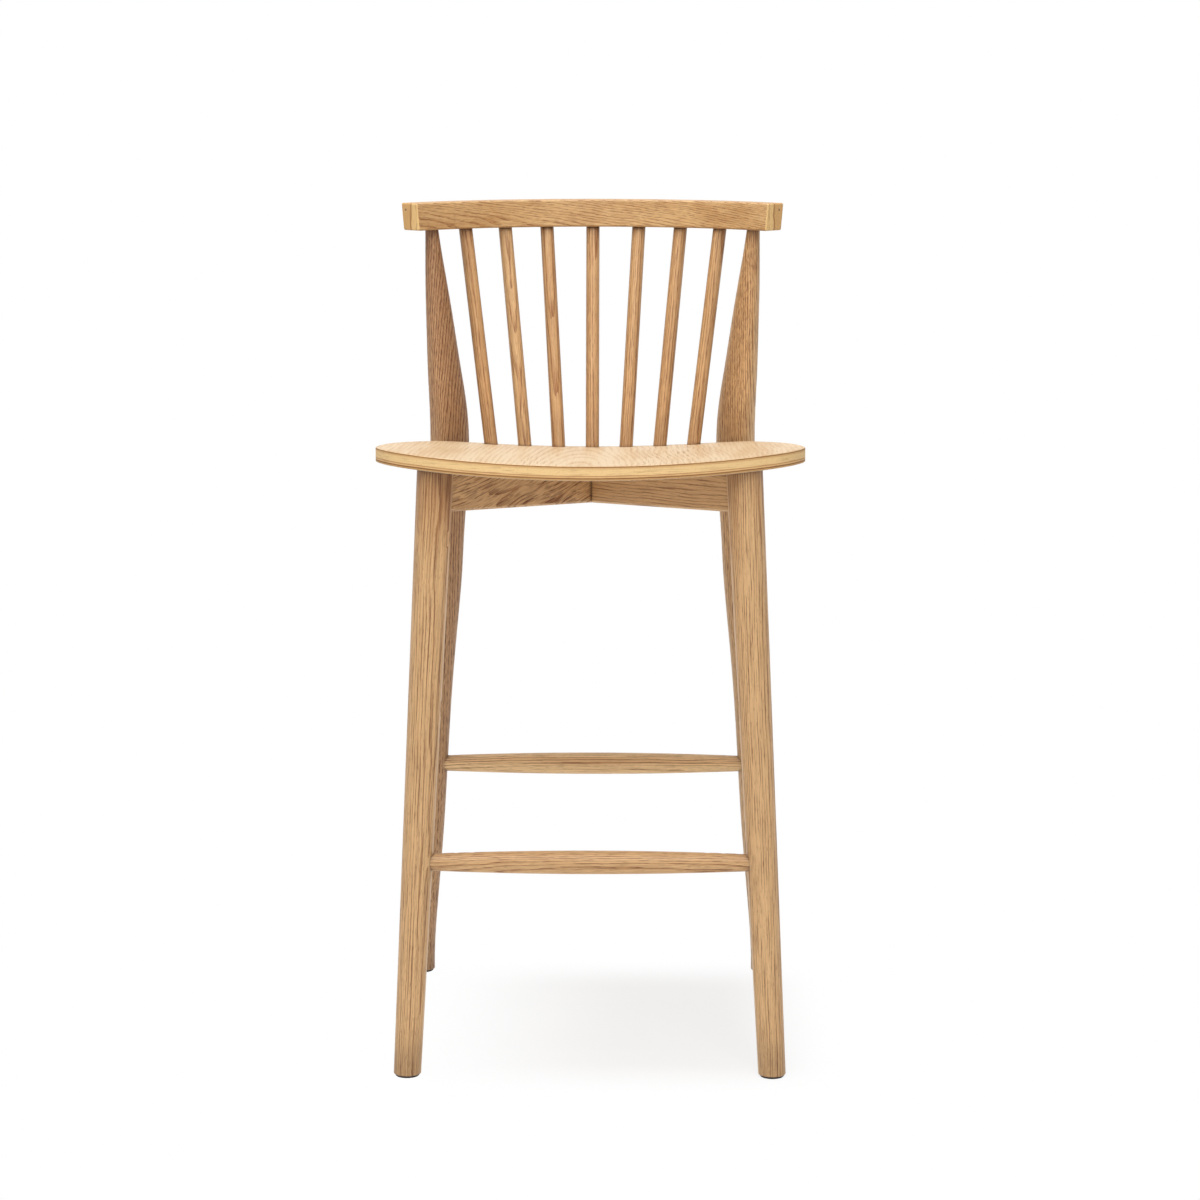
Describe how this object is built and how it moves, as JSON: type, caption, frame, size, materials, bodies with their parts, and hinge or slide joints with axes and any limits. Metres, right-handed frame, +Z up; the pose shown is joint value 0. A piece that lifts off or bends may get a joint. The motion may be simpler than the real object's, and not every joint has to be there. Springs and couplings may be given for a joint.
{
  "type": "counter stool",
  "caption": "Oak counter stool with a dished, tilted plywood seat, splayed legs joined by round stretchers, crossed rails under the seat, and a low curved back of fanned spindles.",
  "frame": {"origin": "middle of the bounding box's footprint, on the floor", "axes": "+Z up, the front of the seat faces -Y, +X is the viewer's right when facing the stool"},
  "size_m": [0.4494, 0.476, 0.8944],
  "materials": {
    "solid_oak": "satin clear oil on straight-grained oak",
    "oak_plywood": "satin, pale oak face veneer with layered edges",
    "beech_dowel": "raw",
    "dark_glide": "matte",
    "zinc_steel": "zinc plated",
    "dark_plug": "dark plug, flush"
  },
  "bodies": {
    "root": {"front_leg_left": "solid_oak", "front_leg_right": "solid_oak", "rear_leg_left": "solid_oak", "rear_leg_right": "solid_oak", "cross_rail_left_front": "solid_oak", "cross_rail_right_front": "solid_oak", "crest_rail": "solid_oak", "front_stretcher": "solid_oak", "rear_stretcher": "solid_oak", "spindle_1": "solid_oak", "spindle_2": "solid_oak", "spindle_3": "solid_oak", "spindle_4": "solid_oak", "spindle_5": "solid_oak", "spindle_6": "solid_oak", "spindle_7": "solid_oak", "seat_panel": "oak_plywood", "dowels_front_left": "beech_dowel", "dowels_front_right": "beech_dowel", "dowels_rear_left": "beech_dowel", "dowels_rear_right": "beech_dowel", "glide_front_left": "dark_glide", "glide_front_right": "dark_glide", "glide_rear_left": "dark_glide", "glide_rear_right": "dark_glide", "seat_screws": "zinc_steel", "glide_nails": "zinc_steel", "crest_end_pins": "dark_plug"}
  },
  "joints": []
}
